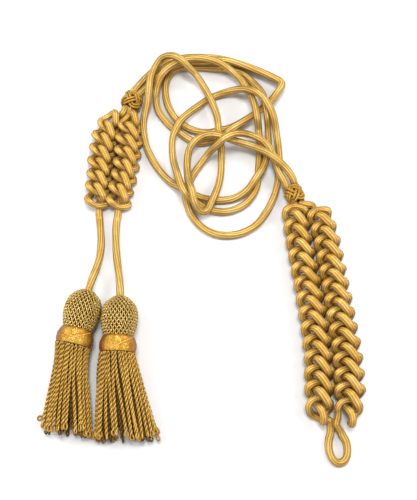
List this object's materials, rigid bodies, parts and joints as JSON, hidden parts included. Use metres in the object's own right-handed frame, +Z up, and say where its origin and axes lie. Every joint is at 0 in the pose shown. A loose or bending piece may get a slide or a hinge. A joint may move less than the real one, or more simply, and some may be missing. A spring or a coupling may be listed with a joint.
{
  "type": "uniform dress cord",
  "caption": "Gold dress cord laid flat: button loop, side-by-side chain plaits, knotted sliders, a loose coil of doubled cord, and tassels with crocheted head, satin band and bullion fringe.",
  "frame": {"origin": "on the table under the middle of the outline, measured without the two free runs of the coil", "axes": "+Z up from the table; +Y along the plaits away from the tassels, which is the longest way; +X across, towards the button loop"},
  "size_m": [0.2144, 0.3029, 0.0249],
  "materials": {
    "gold_cord": "satin braided gold thread",
    "knotted_cord": "fine twisted gold cord, woven",
    "crocheted_head": "crocheted gold thread with a metallic glint",
    "satin_band": "satin wrapped thread",
    "bullion": "twisted bullion strands"
  },
  "bodies": {
    "root": {"right_plait_left": "gold_cord", "right_plait_right": "gold_cord", "left_plait_left": "gold_cord", "left_plait_right": "gold_cord", "button_loop": "gold_cord", "cord_run_a": "gold_cord", "cord_run_b": "gold_cord", "drop_cord_left": "gold_cord", "drop_cord_right": "gold_cord", "right_slider": "knotted_cord", "left_slider": "knotted_cord", "tassel_head_left": "crocheted_head", "tassel_head_right": "crocheted_head", "tassel_band_left": "satin_band", "tassel_band_right": "satin_band", "tassel_skirt_left": "bullion", "tassel_skirt_right": "bullion"}
  },
  "joints": []
}
